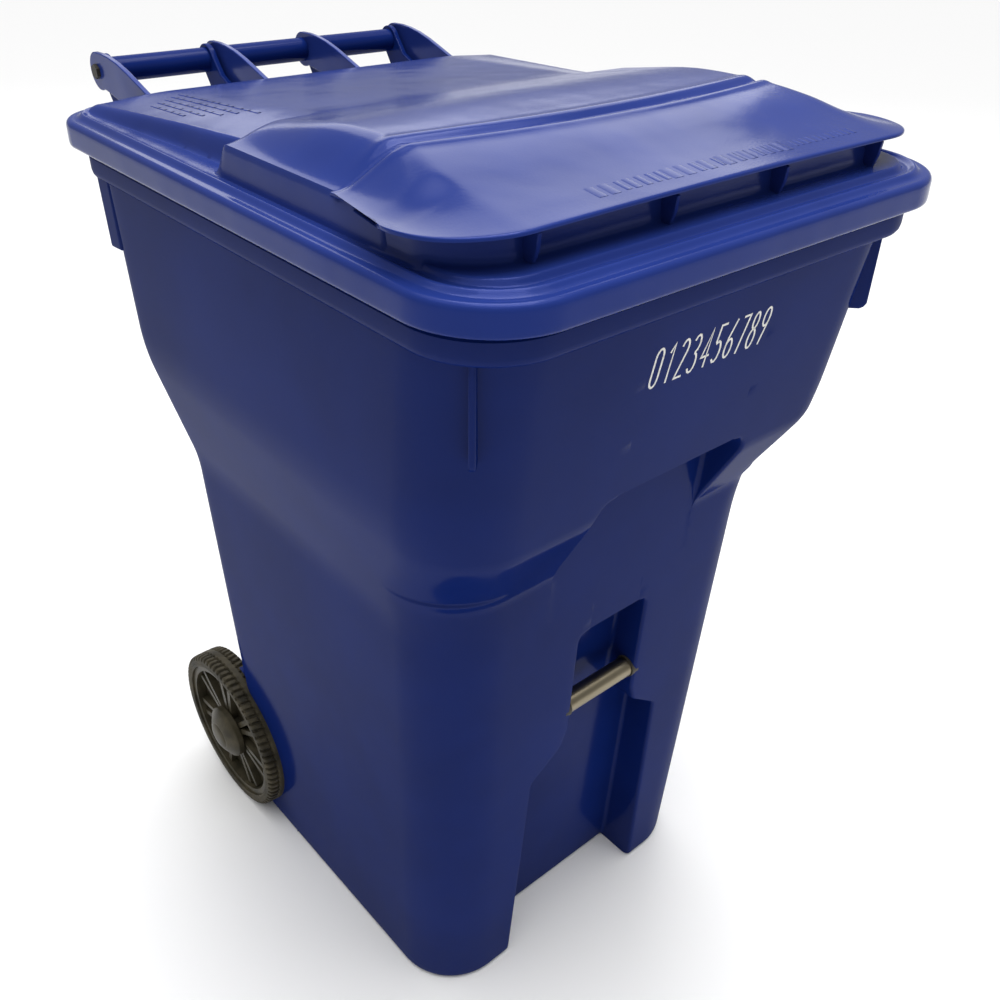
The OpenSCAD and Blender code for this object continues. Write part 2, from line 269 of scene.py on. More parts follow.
def table(z, points, soft):
    """Value of a piecewise line at height z, with its corners eased over a window of +-soft."""
    zs = np.array([p[0] for p in points], float)
    vs = np.array([p[1] for p in points], float)
    w = np.linspace(-soft, soft, 15)
    return float(np.mean(np.interp(z + w, zs, vs)))


def shoulder_soft(z):
    """The shoulder is crisp at its foot and soft at its top."""
    return float(np.interp(z, [0, 660, 740, 1020], [20, 20, 26, 26]))


def step(a, b, x):
    t = np.clip((x - a) / (b - a), 0.0, 1.0)
    return t * t * (3 - 2 * t)


def hump(x, centre, half):
    """A smooth bump of height 1."""
    return np.exp(-(((x - centre) / half) ** 2))


# ---------------------------------------------------------------- tub

TUB_W = [(0, 238), (628, 247), (782, 286), (1018, 289)]
TUB_F = [(0, 262), (664, 290), (758, 342), (1018, 378)]
TUB_R = [(0, 214), (628, 238), (1018, 246)]
REC_HW = [(0, 121), (345, 107), (379, 63), (405, 54), (800, 54)]
SADDLE_HW = 108
SADDLE_TOP = 778
POCKET_TOP = 556
FOOT_R = 82
REAR_R = 46


def notch(z):
    """Half width of the front notch at this height, and how far its back panel lies behind the front face."""
    front = table(z, TUB_F, 8)
    if z < 600:
        top = 14.0
        hw = float(np.interp(z, [p[0] for p in REC_HW], [p[1] for p in REC_HW]))
        if z > POCKET_TOP - top:
            k = min(1.0, (z - POCKET_TOP + top) / top)
            hw -= top * (1 - math.sqrt(max(0.0, 1 - k * k)))
        depth = front - (206 + 0.072 * z)
        return hw, depth * (1 - float(step(POCKET_TOP - 2.5, POCKET_TOP + 1.5, z)))
    depth = max(0.0, front - (290.0 + 0.0422 * (z - 664)))
    hw, top = SADDLE_HW, 24.0
    if z > SADDLE_TOP - top:
        k = min(1.0, (z - SADDLE_TOP + top) / top)
        hw -= top * (1 - math.sqrt(max(0.0, 1 - k * k)))
    return hw, depth * (1 - float(step(SADDLE_TOP - 3, SADDLE_TOP + 1.5, z)))


def arc_points(cx, cy, r, a0, a1, n):
    t = np.radians(np.linspace(a0, a1, n))
    return np.stack([cx + r * np.cos(t), cy + r * np.sin(t)], 1)


def half_front(w, front, rf, hw, depth, t):
    """Points from the front centre to the start of the front right corner."""
    hw, depth = hw + t, max(0.0, depth)
    ri = min(6.0, depth * 0.45) + 1e-4
    ro = min(4.5, depth * 0.45) + 1e-4
    back = -front + depth
    pts = [np.stack([np.linspace(0, hw - ri, 13), np.full(13, back)], 1)]
    pts.append(arc_points(hw - ri, back - ri, ri, 90, 0, 7)[1:])
    pts.append(np.stack([np.full(4, hw), np.linspace(back - ri, -front + ro, 4)], 1)[1:])
    pts.append(arc_points(hw + ro, -front + ro, ro, 180, 270, 7)[1:])
    pts.append(np.stack([np.linspace(hw + ro, max(w - rf, hw + ro + 1), 10), np.full(10, -front)], 1)[1:])
    return np.concatenate(pts)


def tub_section(z, t=0.0, inset=0.0):
    w = table(z, TUB_W, shoulder_soft(z)) - t - inset
    front = table(z, TUB_F, 8) - t - inset
    rear = table(z, TUB_R, 20) - t - inset
    ledge = 8 * float(step(680, 685, z) * step(750, 688, z))
    rf = FOOT_R + ledge - t - inset
    rr = REAR_R - t - inset
    hw, depth = notch(z)
    half = half_front(w, front, rf, hw, depth, t)
    n_front = len(half)
    pts = [half]
    pts.append(arc_points(w - rf, -front + rf, rf, -90, 0, 22)[1:])
    pts.append(np.stack([np.full(34, w), np.linspace(-front + rf, rear - rr, 34)], 1)[1:])
    pts.append(arc_points(w - rr, rear - rr, rr, 0, 90, 14)[1:])
    pts.append(np.stack([np.linspace(w - rr, 0, 16), np.full(16, rear)], 1)[1:])
    right = np.concatenate(pts)
    left = right[1:-1][::-1] * [-1, 1]
    ring = np.concatenate([right, left])
    return np.column_stack([ring, np.full(len(ring), float(z))])


def level_list(extra=()):
    zs = list(np.arange(12, 1016, 5.0)) + list(extra)
    for c in (POCKET_TOP, SADDLE_TOP):
        zs += [c - 14, c - 10, c - 7, c - 4, c - 2.5, c - 1.5, c - 0.8, c, c + 0.7, c + 1.5, c + 3]
    zs += [621, 624, 628, 631, 634, 656, 659, 661, 663, 666, 669, 678, 680, 681, 682, 683, 684, 686, 688]
    return sorted(set(round(float(z), 2) for z in zs))


wall = 5.0
rows = []
for z, inset in ((0, 9), (0.6, 6), (2, 3.4), (4.2, 1.5), (7, 0.4)):
    rows.append(tub_section(z, 0, inset) * MM)
for z in level_list():
    rows.append(tub_section(z) * MM)
outer = loft(rows, cap_first=True)
inner_rows = [tub_section(z, wall) * MM for z in level_list() if z > 8]
iv, jf = loft(inner_rows, cap_first=True)
inner = (iv, [tuple(reversed(f)) for f in jf])
n_ring = len(rows[0])
tv, tf = join_parts([outer, inner])
last_outer = len(outer[0]) - n_ring
last_inner = len(tv) - n_ring
for j in range(n_ring):
    k = (j + 1) % n_ring
    tf.append((last_outer + j, last_outer + k, last_inner + k, last_inner + j))
tub_obj = make_object("tub_shell", tv, tf, blue_tub, "tub", 38, "moulded_plastic")
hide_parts("tub")

# wheel wells
axle_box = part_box("axle")
AXLE_Y = (axle_box[0].y + axle_box[1].y) / 2
AXLE_Z = (axle_box[0].z + axle_box[1].z) / 2
tyre_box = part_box("tyre_left")
WHEEL_R = (tyre_box[1].z - tyre_box[0].z) / 2
WELL_X = 0.196


def well_profile(r, n=40):
    pts = [(AXLE_Y - r, -0.02)]
    for a in np.linspace(180, 0, n):
        pts.append((AXLE_Y + r * math.cos(math.radians(a)), AXLE_Z + r * math.sin(math.radians(a))))
    pts.append((AXLE_Y + r, -0.02))
    return pts


def prism_x(profile, x0, x1):
    """A solid with this outline in Y and Z, from x0 to x1."""
    n = len(profile)
    v = [(x0, y, z) for y, z in profile] + [(x1, y, z) for y, z in profile]
    f = [(i, (i + 1) % n, n + (i + 1) % n, n + i) for i in range(n)]
    f += [tuple(range(n - 1, -1, -1)), tuple(range(n, 2 * n))]
    return np.array(v), f


WELL_CLEAR = 0.013

for s in (-1, 1):
    x0, x1 = sorted((s * WELL_X, s * 0.32))
    cutter = make_object("well_cutter_" + ("l" if s < 0 else "r"),
                         *prism_x(well_profile(WHEEL_R + WELL_CLEAR), x0, x1), blue_tub, "tub", 0)
    cutter.hide_render = True
    cutter.hide_viewport = True
    m = tub_obj.modifiers.new("well", "BOOLEAN")
    m.operation = "DIFFERENCE"
    m.object = cutter
    m.solver = "EXACT"
    # the well's own skin closes the cut, and the cut's edges stay crisp
    prof = well_profile(WHEEL_R + WELL_CLEAR)[1:-1]
    keep = [(y, z) for y, z in prof if z > AXLE_Z - 0.001 and y < 0.222]
    low = [(AXLE_Y - WHEEL_R - WELL_CLEAR, 0.002)] + keep
    xs_in, xs_out = s * (WELL_X + 0.0002), s * 0.2375
    roof = np.array([[(xs_in, y, z), (xs_out, y, z)] for y, z in low]).reshape(-1, 3)
    rf_faces = [(2 * i, 2 * i + 1, 2 * i + 3, 2 * i + 2) for i in range(len(low) - 1)]
    side = [(xs_in, 0.214, 0.002)] + [(xs_in, y, z) for y, z in low] + [(xs_in, 0.222, low[-1][1])]
    base = len(roof)
    pv = np.concatenate([roof, np.array(side)])
    pf = rf_faces + [tuple(range(base, base + len(side)))]
    make_object("well_skin_" + ("l" if s < 0 else "r"), pv, pf, blue_tub, "tub", 30, "moulded_plastic")


crisp = tub_obj.modifiers.new("crisp_cut", "EDGE_SPLIT")
crisp.split_angle = math.radians(38)


def ring_profile(profile, w, front, rear, rf, rr, name, mat, body, slot):
    """Sweeps a closed profile of (outward offset, height) pairs round a rounded rectangle."""
    rows = []
    for off, z in profile:
        a = w + off
        pts = [np.stack([np.linspace(0, w - rf, 16), np.full(16, -front - off)], 1)]
        pts.append(arc_points(w - rf, -front + rf, rf + off, -90, 0, 26)[1:])
        pts.append(np.stack([np.full(34, a), np.linspace(-front + rf, rear - rr, 34)], 1)[1:])
        pts.append(arc_points(w - rr, rear - rr, rr + off, 0, 90, 20)[1:])
        pts.append(np.stack([np.linspace(w - rr, 0, 16), np.full(16, rear + off)], 1)[1:])
        right = np.concatenate(pts)
        ring = np.concatenate([right, right[1:-1][::-1] * [-1, 1]])
        rows.append(np.column_stack([ring, np.full(len(ring), float(z))]) * MM)
    rows.append(rows[0])
    v, f = loft(rows)
    return make_object(name, v, f, mat, body, 35, slot)


rim_profile = [(-14, 967), (-6, 968), (-2.5, 969.5), (-0.8, 972), (0, 976), (0, 989), (-1.6, 991), (-1.6, 1014),
               (-3, 1017), (-6, 1018), (-15, 1018), (-17, 1016), (-18, 1008), (-14, 985)]
ring_profile(rim_profile, 294, 388, 268, 76, 46, "tub_rim", blue_tub, "tub", "moulded_plastic")


def plate_x(profile, x, t, name, mat, body, slot, width=0.0012, seg=3):
    solid = prism_x([(y * MM, z * MM) for y, z in profile], (x - t / 2) * MM, (x + t / 2) * MM)
    o = make_object(name, *solid, mat, body, 30, slot)
    bevel(o, width, seg)
    return o


hinge = next(j for j in frame["joints"] if j["name"] == "lid_hinge")
HY, HZ = hinge["pos_m"][1] / MM, hinge["pos_m"][2] / MM


def ear_outline():
    pts = [(234, 927), (289, 938), (352, 966), (HY + 6, HZ - 15.5)]
    for a in np.linspace(-55, 150, 26):
        pts.append((HY + 17.5 * math.cos(math.radians(a)), HZ + 17.5 * math.sin(math.radians(a))))
    pts += [(352, 1026), (326, 1014), (308, 996), (300, 982), (286, 974), (234, 974)]
    return pts


for i, x in enumerate((-197, -72, 72, 197)):
    plate_x(ear_outline(), x, 7, f"hinge_ear_{i}", blue_tub, "tub", "moulded_plastic")


def lug_outline():
    pts = [(205, 57)]
    for a in np.linspace(-70, 70, 15):
        pts.append((AXLE_Y / MM + 18 * math.cos(math.radians(a)), AXLE_Z / MM + 18 * math.sin(math.radians(a))))
    pts += [(205, 197)]
    return pts


for i, x in enumerate((-150, 0, 150)):
    plate_x(lug_outline(), x, 60, f"axle_lug_{i}", blue_tub, "tub", "moulded_plastic", 0.004)


def corner_rib(x, y, angle, z0, z1, depth, t, name):
    """A flat rib that hugs a corner, its foot rounded."""
    prof = [(-depth / 2, z1), (-depth / 2, z0 + 6)]
    prof += [(-depth / 2 + 3, z0 + 2), (-depth / 2 + 7, z0)]
    prof += [(depth / 2, z0), (depth / 2, z1)]
    v, f = prism_x([(a * MM, b * MM) for a, b in prof], -t / 2 * MM, t / 2 * MM)
    rot = Matrix.Rotation(math.radians(angle), 3, "Z")
    v = np.array([tuple(rot @ Vector(p)) for p in v]) + np.array([x * MM, y * MM, 0])
    o = make_object(name, v, f, blue_tub, "tub", 30, "moulded_plastic")
    bevel(o, 0.0018, 3)
    return o


corner_rib(-259, -346, -45, 876, 970, 26, 6, "corner_rib_fl")
corner_rib(259, -346, 45, 876, 970, 26, 6, "corner_rib_fr")
for s in (-1, 1):
    o = make_object("corner_rib_r" + ("l" if s < 0 else "r"),
                    *prism_x([(y * MM, z * MM) for y, z in ((209, 895), (236, 893), (238, 970), (209, 970))],
                             s * 280 * MM - 0.008, s * 280 * MM + 0.008), blue_tub, "tub", 30, "moulded_plastic")
    bevel(o, 0.003, 3)

# ---------------------------------------------------------------- lid

LID_W, LID_F, LID_R = 306, 404, 291
Z0 = 1023
P_Y = [-404, -368, -349, -308, -268, -218, -150, -114, 5, 277, 306]
P_Z = [1057, 1057, 1060, 1065, 1074.5, 1081.5, 1081, 1078, 1058, 1035, 1031]
LIP = dict(w=295.0, front=367.0, r=74.0, z=1056.0)


def centre_line(y):
    w = np.linspace(-22, 22, 9)
    return np.mean([np.interp(y + k, P_Y, P_Z) for k in w], 0)


def rounded_dist(x, y, w, front, rear, rf, rr):
    """Distance inside a rounded rectangle's edge, negative outside."""
    ax = np.abs(x)
    r = np.where(y < (rear - front) / 2, rf, rr)
    cy = np.where(y < (rear - front) / 2, -front + rf, rear - rr)
    dy = np.where(y < (rear - front) / 2, cy - y, y - cy)
    dx = ax - (w - r)
    outside = np.hypot(np.maximum(dx, 0), np.maximum(dy, 0))
    return -(np.minimum(np.maximum(dx, dy), 0) + outside - r)


def pan_edge(y):
    return np.interp(y, [-20, 90, 256], [256, 262, 279])


def ledge_height(y, edge):
    """The ledge round the lid: one bead all the way, and a second one round the front corners."""
    z = Z0 + 4.6 * hump(edge, 18, 4.2) + 1.0 * step(20, 26, edge)
    return z + 5.5 * step(28, 34, edge) * step(-215, -262, y)


def cover_side(y):
    return np.interp(y, [-300, -197], [LIP["w"], 276])


def cover_height(x, y):
    ax = np.abs(x)
    side = cover_side(y) - ax
    top = centre_line(y) + 2.0 * (1 - np.minimum(1, ax / 240) ** 2)
    edge_z = np.interp(y, [-367, -262, -197], [LIP["z"], 1053.5, 1051.5])
    lift = step(0, 66, side - 6 * step(-262, -300, y))
    return edge_z + (top - edge_z) * lift


def crease_y(x):
    return -199 - 30 * (1 - np.minimum(1, np.abs(x) / 275) ** 2)


def deck_height(x, y, under=0.0):
    """Height of the lid's top at x, y in millimetres. Under lowers the part that the front cover hides."""
    ax = np.abs(x)
    edge = rounded_dist(x, y, LID_W, LID_F, LID_R, 82, 58)
    z = ledge_height(y, edge)
    # rear pan
    rear_in = 268 - y
    pe = pan_edge(y)
    wall_pan = np.minimum((pe - ax), rear_in)
    e_z = np.interp(y, [-20, 256], [1047, 1032])
    inner = step(0, 95, pe - ax)
    pan = e_z + (centre_line(y) - e_z) * inner
    pan = Z0 + (pan - Z0) * step(0, 14, wall_pan)
    # front part: upright sides, a fold, then a broad chamfer up to the crown
    side = 276 - ax
    top = centre_line(y) + 2.0 * (1 - (ax / 240) ** 2)
    chamf = 1051 + (top - 1051) * step(0, 62, side)
    fr = Z0 + (chamf - Z0) * step(-1.5, 5, side)
    k = step(0, 1, (-8 - y) / 22)
    body = np.where(side > -1.5, pan + (np.maximum(fr, pan) - pan) * k, pan)
    # a bead and a groove behind the crease
    behind = y - crease_y(x)
    ends = step(0, 40, side) * step(262, 196, ax)
    body = body + (1.6 * hump(behind, 15, 6) - 3.6 * hump(behind, 3, 4.5)) * ends
    z = np.maximum(z, body)
    # under the front cover the deck drops out of sight
    below = np.minimum(z, cover_height(x, y) - under)
    z = z + (below - z) * step(0, -3, behind)
    flat = np.minimum(z, ledge_height(y, edge))
    z = z + (flat - z) * step(-260, -268, y) * step(-4, 0, edge)
    return z


def lid_outline(off):
    w, front, rear, rf, rr = LID_W, LID_F, LID_R, 82, 58
    pts = [np.stack([np.linspace(0, w - rf, 60), np.full(60, -front - off)], 1)]
    pts.append(arc_points(w - rf, -front + rf, rf + off, -90, 0, 46)[1:])
    pts.append(np.stack([np.full(150, w + off), np.linspace(-front + rf, rear - rr, 150)], 1)[1:])
    pts.append(arc_points(w - rr, rear - rr, rr + off, 0, 90, 30)[1:])
    pts.append(np.stack([np.linspace(w - rr, 0, 60), np.full(60, rear + off)], 1)[1:])
    right = np.concatenate(pts)
    return np.concatenate([right, right[1:-1][::-1] * [-1, 1]])


lid_rows = []
inner_skirt = [(-4.5, 1018.5), (-4.2, 1000.5), (-3.6, 999.0), (-2.4, 998.3), (-1.0, 998.6), (-0.2, 999.8),
               (0, 1001.5), (0, 1004)]
for off, z in inner_skirt:
    ring = lid_outline(off)
    lid_rows.append(np.column_stack([ring, np.full(len(ring), z)]) * MM)
for z in (1006, 1010, 1014, 1017):
    ring = lid_outline(-0.12 * (z - 1004) / 4)
    lid_rows.append(np.column_stack([ring, np.full(len(ring), float(z))]) * MM)
for a in (15, 30, 45, 60, 75, 90):
    ra = math.radians(a)
    ring = lid_outline(-0.5 - 5.5 * (1 - math.cos(ra)))
    lid_rows.append(np.column_stack([ring, np.full(len(ring), 1017 + (Z0 - 1017) * math.sin(ra))]) * MM)
edge_ring = lid_outline(0)
core = np.column_stack([np.zeros(len(edge_ring)), np.clip(edge_ring[:, 1], -130, 20)])
dist = np.concatenate([np.arange(7.0, 40, 1.0), np.arange(40, 100, 2.2), np.arange(100, 300, 3.4)])
for d in dist:
    k = d / 306.0
    if k >= 1:
        break
    # rings follow the outline near it and shrink to a short line in the middle
    ring = edge_ring + (core - edge_ring) * k
    z = deck_height(ring[:, 0], ring[:, 1], 4.0)
    lid_rows.append(np.column_stack([ring, z]) * MM)
lv, lf = loft(lid_rows)
n = len(edge_ring)
start = len(lv) - n
half = n // 2
for j in range(1, half):
    a0, a1 = start + j, start + (j + 1) % n
    b0, b1 = start + (n - j) % n, start + (n - j - 1) % n
    if len({a0, a1, b0, b1}) == 4:
        lf.append((a0, a1, b1, b0))
lf.append((start, start + 1, start + n - 1))
lid_obj = make_object("lid_shell", lv, lf, lid_blue_painted_lighter, "lid", 50, "moulded_plastic")
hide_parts("lid")

# underside: a plain inner sheet
def under_height(x, y):
    top = deck_height(x, y, 4.0)
    return top - 4.0


under_rows = []
for d in [4.5] + list(np.arange(8, 300, 4.0)):
    k = d / 306.0
    ring = edge_ring + (core - edge_ring) * k
    z = under_height(ring[:, 0], ring[:, 1])
    if d < 6:
        z = np.full(len(ring), 1018.6)
    under_rows.append(np.column_stack([ring, z]) * MM)
uv_, uf = loft(under_rows, cap_last=True)
make_object("lid_underside", uv_, [tuple(reversed(f)) for f in uf], lid_blue_painted_lighter, "lid", 50, "moulded_plastic")

# front cover: from the crease to the visor's lip
def lip_outline(n_side=30, n_corner=36, n_front=70):
    """Right half of the cover's free edge, from the front centre round to the crease's end."""
    w, front, r = LIP["w"], LIP["front"], LIP["r"]
    pts = [np.stack([np.linspace(0, w - r, n_front), np.full(n_front, -front)], 1)]
    pts.append(arc_points(w - r, -front + r, r, -90, 0, n_corner)[1:])
    ys = np.linspace(-front + r, -197, n_side)
    xs = 275.5 + (w - 275.5) * step(-250, -292, ys)
    pts.append(np.stack([xs, ys], 1)[1:])
    right = np.concatenate(pts)
    return np.concatenate([right[::-1] * [-1, 1], right[1:]])


lip = lip_outline()
cover_rows = []
crease = np.column_stack([np.linspace(lip[0, 0], lip[-1, 0], len(lip)), np.zeros(len(lip))])
crease[:, 1] = crease_y(crease[:, 0])
# spread the crease points so that each lines up with its lip point
crease[:, 0] = np.clip(lip[:, 0] * (274.5 / LIP["w"]), -274.5, 274.5)
crease[:, 1] = crease_y(crease[:, 0])
T = np.concatenate([[0.0, 0.006, 0.014, 0.024], np.linspace(0.04, 0.9, 44), np.linspace(0.91, 1.0, 14)])
for t_ in T:
    p = lip + (crease - lip) * t_
    z = cover_height(p[:, 0], p[:, 1])
    if t_ < 0.02:
        z = z - [1.2, 0.35, 0.08][min(2, int(round(t_ / 0.007)))]
    front_of = crease_y(p[:, 0]) - p[:, 1]
    ends = 0.25 * step(276, 262, np.abs(p[:, 0])) + 0.75 * step(262, 196, np.abs(p[:, 0]))
    z = z + (1.5 * hump(front_of, 9, 5.5) - 3.4 * hump(front_of, 0, 3.6)) * ends
    cover_rows.append(np.column_stack([p, z]) * MM)
top_v, top_f = loft(cover_rows, closed=False)
low_rows = []
for t_ in np.linspace(0.0, 0.55, 14):
    p = lip + (crease - lip) * t_
    z = cover_height(p[:, 0], p[:, 1]) - 3.6 + (0.6 if t_ == 0 else 0)
    low_rows.append(np.column_stack([p, z]) * MM)
low_v, low_f = loft(low_rows, closed=False)
cv, cf = join_parts([(top_v, [tuple(reversed(f)) for f in top_f]), (low_v, low_f)])
m_ = len(lip)
off = len(top_v)
for j in range(m_ - 1):
    cf.append((j, j + 1, off + j + 1, off + j))
make_object("lid_cover", cv, cf, lid_blue_painted_lighter, "lid", 60, "moulded_plastic")


def front_path(off, w=273, front=347, r=57, start=-252):
    """The upright wall under the visor, seen from above, from the left side round to the right side."""
    pts = [np.stack([np.linspace(0, w - r, 60), np.full(60, -front - off)], 1)]
    pts.append(arc_points(w - r, -front + r, r + off, -90, 0, 30)[1:])
    pts.append(np.stack([np.full(10, w + off), np.linspace(-front + r, start, 10)], 1)[1:])
    right = np.concatenate(pts)
    return np.concatenate([right[::-1] * [-1, 1], right[1:]])


wall_rows = []
for off, up in ((7, 0.0), (3, 0.01), (1.4, 0.05), (0.6, 0.12), (0.2, 0.3), (0, 0.5), (-0.2, 0.75), (-0.4, 1.0)):
    path = front_path(off)
    edge = rounded_dist(path[:, 0], path[:, 1], LID_W, LID_F, LID_R, 82, 58)
    low = ledge_height(path[:, 1], edge) - (0.6 if off > 8 else 0)
    high = cover_height(path[:, 0], path[:, 1]) - 3.2
    wall_rows.append(np.column_stack([path, low + (high - low) * up]) * MM)
wv, wf = loft(wall_rows, closed=False)
make_object("visor_wall", wv, wf, lid_blue_painted_lighter, "lid", 60, "moulded_plastic")

for i, x in enumerate((-214, -70, 70, 214)):
    plate_x([(-342, 1026), (-356, 1026), (-361, 1040), (-362.5, 1053), (-342, 1056)], x, 4,
            f"visor_rib_{i}", lid_blue_painted_lighter, "lid", "moulded_plastic", 0.0008, 2)


def fin_outline():
    pts = []
    for a in np.linspace(-120, 84, 30):
        pts.append((HY + 20 * math.cos(math.radians(a)), HZ + 20 * math.sin(math.radians(a))))
    curve = [(HY - 16, HZ + 20.5), (HY - 34, HZ + 19.5), (HY - 54, HZ + 16.5), (HY - 76, HZ + 11),
             (HY - 98, HZ + 4), (HY - 118, HZ - 2.5), (HY - 136, HZ - 8)]
    pts += curve
    pts += [(HY - 140, 1020), (289, 1020), (291, 1014), (HY - 60, 1012), (HY - 30, HZ - 20.5)]
    return pts


for i, x in enumerate((-206, -63, 63, 206)):
    plate_x(fin_outline(), x, 6, f"lid_fin_{i}", lid_blue_painted_lighter, "lid", "moulded_plastic", 0.001, 3)

# ---------------------------------------------------------------- raised and stamped marks


def ribbon(points, width, place, thick):
    """A flat stroke along a line in a plane. place turns (u, v, height) into a point in millimetres."""
    p = np.asarray(points, float)
    p = p[np.concatenate([[True], np.linalg.norm(np.diff(p, axis=0), axis=1) > 1e-3])]
    d = np.diff(p, axis=0)
    d /= np.linalg.norm(d, axis=1)[:, None]
    tan = np.concatenate([d[:1], d[:-1] + d[1:], d[-1:]])
    tan /= np.linalg.norm(tan, axis=1)[:, None]
    nrm = np.column_stack([-tan[:, 1], tan[:, 0]])
    stretch = np.ones(len(p))
    stretch[1:-1] = 1 / np.clip(np.sum(tan[1:-1] * d[1:], axis=1), 0.6, 1)
    p = p.copy()
    p[0] -= tan[0] * width * 0.25
    p[-1] += tan[-1] * width * 0.25
    rows = []
    for du, h in ((-0.5, 0.0), (-0.38, thick), (0.38, thick), (0.5, 0.0)):
        q = p + nrm * (width * du * stretch)[:, None]
        rows.append(np.array([place(u, v, h) for u, v in q]) * MM)
    return loft(rows, closed=False)


def arc(cx, cy, rx, ry, a0, a1, n=9):
    t = np.radians(np.linspace(a0, a1, n))
    return [(cx + rx * math.cos(k), cy + ry * math.sin(k)) for k in t]


DIGITS = [
    [arc(0.5, 1.5, 0.4, 0.4, 0, 180) + [(0.1, 0.5)] + arc(0.5, 0.5, 0.4, 0.4, 180, 360) + [(0.9, 1.5)]],
    [[(0.25, 1.55), (0.6, 1.9), (0.6, 0.1)]],
    [arc(0.5, 1.5, 0.38, 0.38, 160, -30) + [(0.12, 0.1), (0.9, 0.1)]],
    [arc(0.45, 1.48, 0.38, 0.4, 150, -80) + arc(0.45, 0.56, 0.42, 0.46, 80, -150)],
    [[(0.68, 0.1), (0.68, 1.9), (0.08, 0.62), (0.95, 0.62)]],
    [[(0.85, 1.9), (0.2, 1.9), (0.15, 1.15)] + arc(0.46, 0.62, 0.42, 0.5, 120, -140)],
    [[(0.72, 1.9), (0.22, 1.1)] + arc(0.5, 0.56, 0.4, 0.45, 160, 520, 16)],
    [[(0.1, 1.9), (0.9, 1.9), (0.38, 0.1)]],
    [arc(0.5, 1.46, 0.34, 0.4, -90, 270, 16), arc(0.5, 0.58, 0.4, 0.47, 90, 450, 16)],
    [arc(0.5, 1.44, 0.4, 0.45, -20, 340, 16) + [(0.86, 1.2), (0.42, 0.1)]],
]


def on_front(u, v, h):
    return (u, -table(v, TUB_F, 8) - h - 0.02, v)


marks = []
pitch, digit_w, digit_h, lean = 16.4, 11.5, 20.5, 0.16
for i, strokes in enumerate(DIGITS):
    x0 = -81 + i * pitch
    for st in strokes:
        pts = [(x0 + a * digit_w + b * digit_h * lean * 0.5, 890 + b * digit_h) for a, b in st]
        marks.append(ribbon(pts, 2.3, on_front, 0.22))
dv, df = join_parts(marks)
make_object("number_row", dv, df, marking, "tub", 30)

rng = np.random.default_rng(4)


def on_pan(u, v, h):
    return (u, v, float(deck_height(np.array([u]), np.array([v]), 4.0)[0]) + h - 0.05)


def on_cover(u, v, h):
    return (u, v, float(cover_height(np.array([u]), np.array([v]))[0]) + h - 0.05)


dashes = []
for row in range(5):
    y = 216 - 6 * row
    stop = 58 + 16 * row
    while y > stop:
        ln = float(rng.uniform(4, 15))
        row_x = -192 - 10.5 * row
        dashes.append(ribbon([(row_x, y), (row_x, y - ln * 0.5), (row_x, y - ln)], 4.2, on_pan, 0.55))
        y -= ln + 4.5
x = -140.0
while x < 196:
    ln = float(rng.uniform(5, 12)) if x < 100 else float(rng.uniform(3, 6))
    tall = 12.0 if x < 100 else 8.5
    dashes.append(ribbon([(x, -341 - tall / 2), (x, -341), (x, -341 + tall / 2)], ln, on_cover, 0.28))
    x += ln + 4.0
hv, hf = join_parts(dashes)
make_object("lid_dashes", hv, hf, lid_blue_painted_lighter, "lid", 30, "moulded_plastic")

# tyres with a lugged tread and ribbed side walls, and low hub caps
TREAD = 72


def lathe_x(profile, cx, segments, shape, name, mat, body, slot, smooth):
    """Turns a closed profile of (x, r) in millimetres about the axle. shape gives the radius at an angle."""
    a = np.linspace(0, 2 * math.pi, segments, endpoint=False)
    rows = []
    for x, r in profile:
        rr = shape(x, r, a) * MM
        y, z = AXLE_Y + rr * np.cos(a), AXLE_Z + rr * np.sin(a)
        rows.append(np.column_stack([np.full(segments, cx + x * MM), y, z]))
    v, f = loft(rows)
    return make_object(name, v, [tuple(reversed(q)) for q in f], mat, body, smooth, slot)


def tread(x, r, a):
    """The tyre's radius at each angle: two staggered rows of lugs and a groove beside the middle band."""
    if r < 120.5:
        return np.full_like(a, r)
    ax = abs(x)
    phase = (a * TREAD / (2 * math.pi) + 0.5 * (x > 0) + 0.018 * ax) % 1.0
    lug = 4.4 * step(0.50, 0.60, phase) * step(1.0, 0.90, phase) * step(4.0, 6.0, ax)
    ring_groove = 2.2 * hump(ax, 6.5, 1.1)
    return r - np.maximum(lug, ring_groove) * step(120.5, 123, r)


def tyre_profile():
    """The tyre's outer outline from one rim edge over the tread to the other, as (x, r) in millimetres."""
    out = [(21.0, 110.2), (21.8, 112.0), (21.6, 112.6), (21.9, 116.0), (21.9, 120.0), (21.2, 122.6), (20.4, 124.4),
           (19.0, 125.7), (17.0, 126.3), (13.0, 126.7), (9.0, 126.9), (8.0, 126.9), (7.2, 127.0), (6.5, 127.0),
           (5.8, 127.0), (5.0, 127.0), (4.0, 127.0), (2.0, 127.0)]
    return out + [(-x, r) for x, r in reversed(out)] + [(-21.0, 110.0), (21.0, 110.0)]


def plain_turning(x, r, a):
    return np.full_like(a, r)


